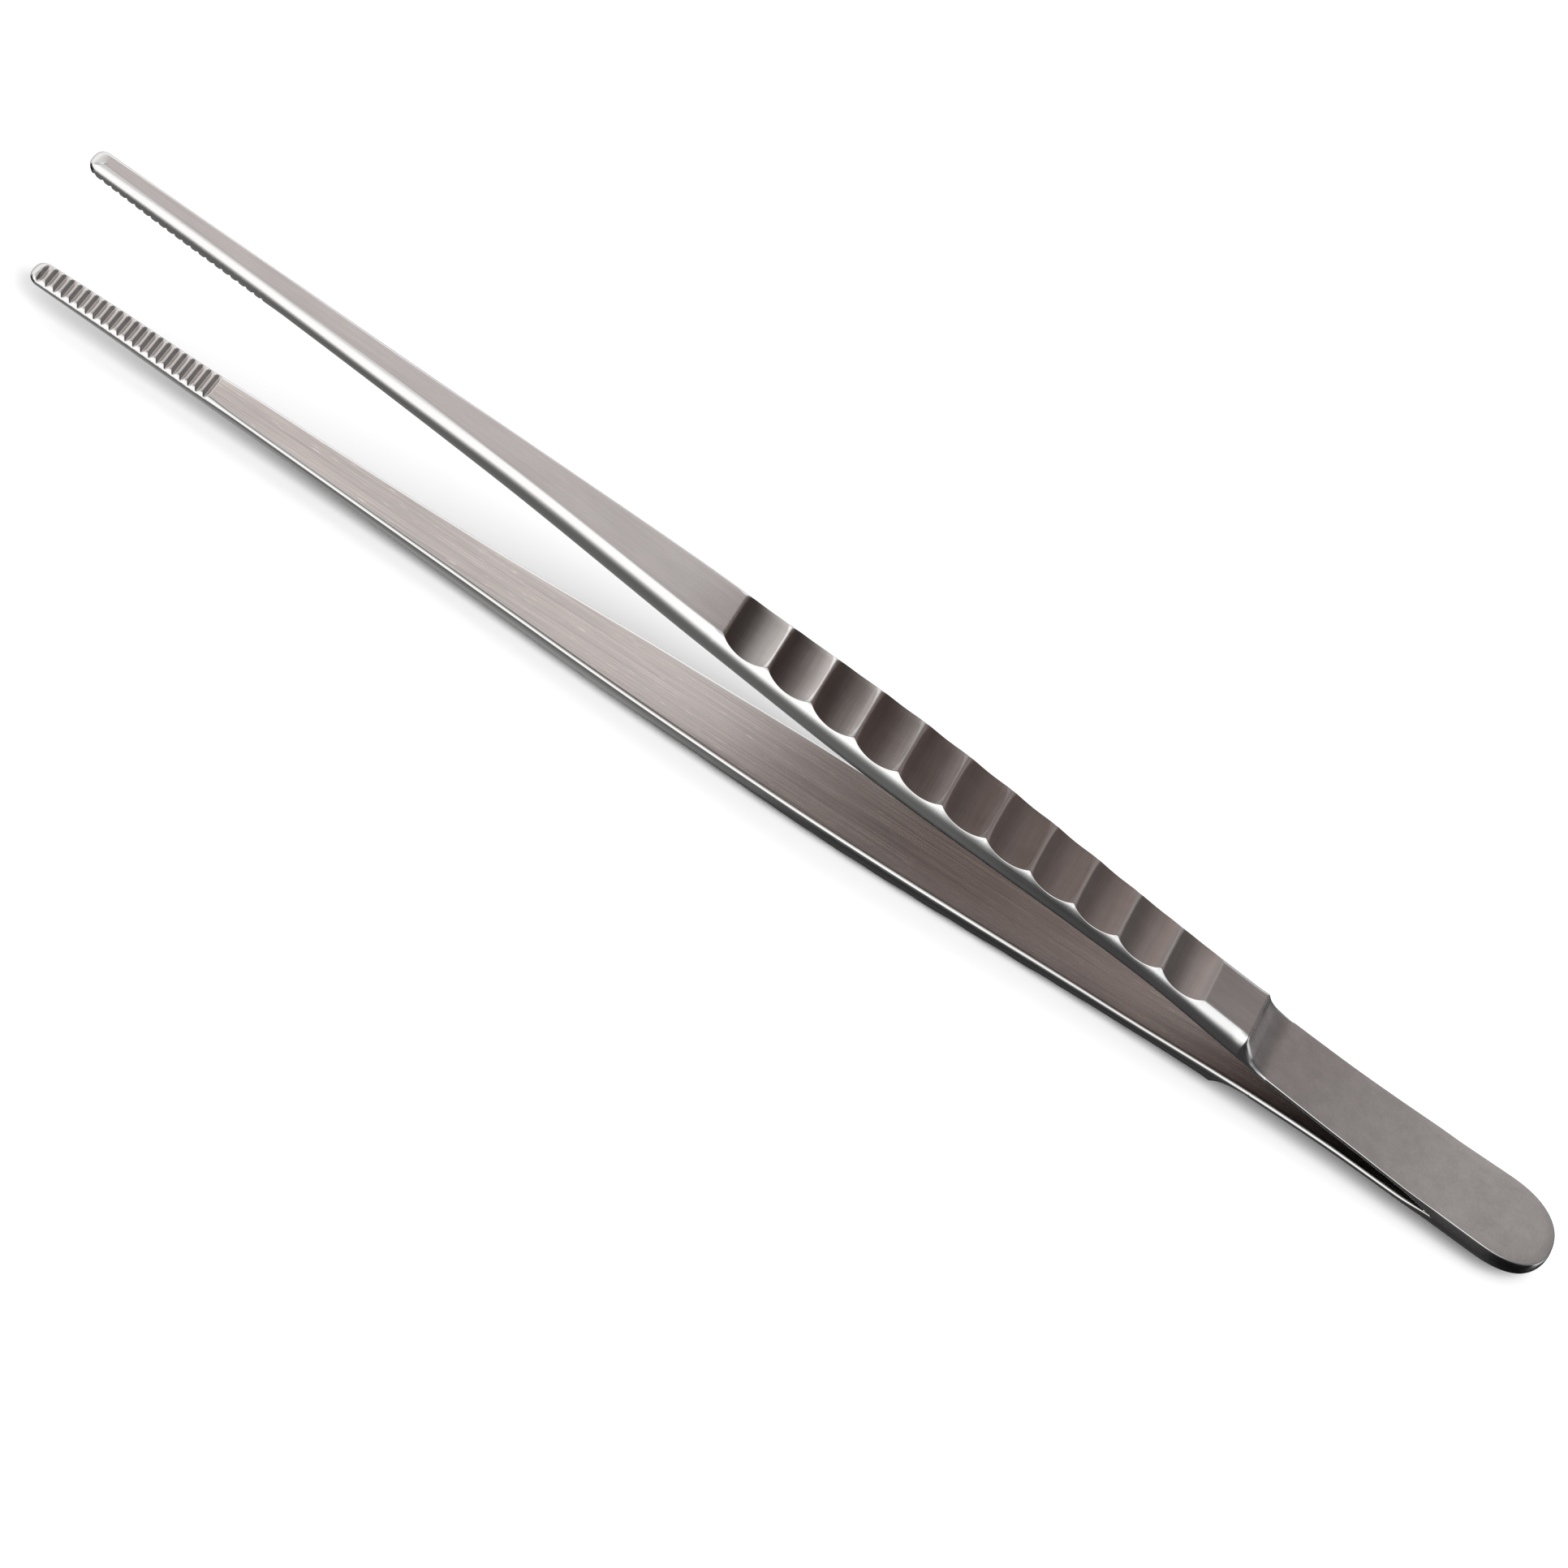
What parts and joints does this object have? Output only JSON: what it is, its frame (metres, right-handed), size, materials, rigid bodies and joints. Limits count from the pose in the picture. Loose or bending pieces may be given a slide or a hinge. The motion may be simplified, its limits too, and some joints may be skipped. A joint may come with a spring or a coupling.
{
  "type": "print tongs",
  "caption": "Slender sprung steel tongs for lifting wet prints: closed rounded heel, thin spring leaves, scalloped grips, tapering shanks and finely serrated blunt jaws.",
  "frame": {"origin": "middle of the heel's rounded end, on the plane where the two arms meet", "axes": "+X runs forward along the tongs to the jaws, +Y runs across their width, +Z points through the gap towards the upper arm"},
  "size_m": [0.25, 0.0146, 0.0266],
  "materials": {
    "satin_steel": "satin, brushed lengthwise on the faces, polished on the convex sides",
    "weld": "ground flush and polished"
  },
  "bodies": {
    "heel": {"heel_weld": "weld", "upper_heel_leaf": "satin_steel", "lower_heel_leaf": "satin_steel"},
    "upper_arm": {"upper_arm": "satin_steel"},
    "lower_arm": {"lower_arm": "satin_steel"}
  },
  "joints": [
    {"name": "upper_flex", "type": "hinge", "parent": "heel", "child": "upper_arm", "pos_m": [0.035, 0, 0.0014], "axis": [0, 1, 0], "range_deg": [0, 3.09], "stiffness_Nm_per_rad": 2.3},
    {"name": "lower_flex", "type": "hinge", "parent": "heel", "child": "lower_arm", "pos_m": [0.035, 0, -0.0014], "axis": [0, -1, 0], "range_deg": [0, 3.09], "stiffness_Nm_per_rad": 2.3}
  ],
  "couplings": [
    {"joint": "lower_flex", "follows": "upper_flex", "ratio": 1}
  ]
}
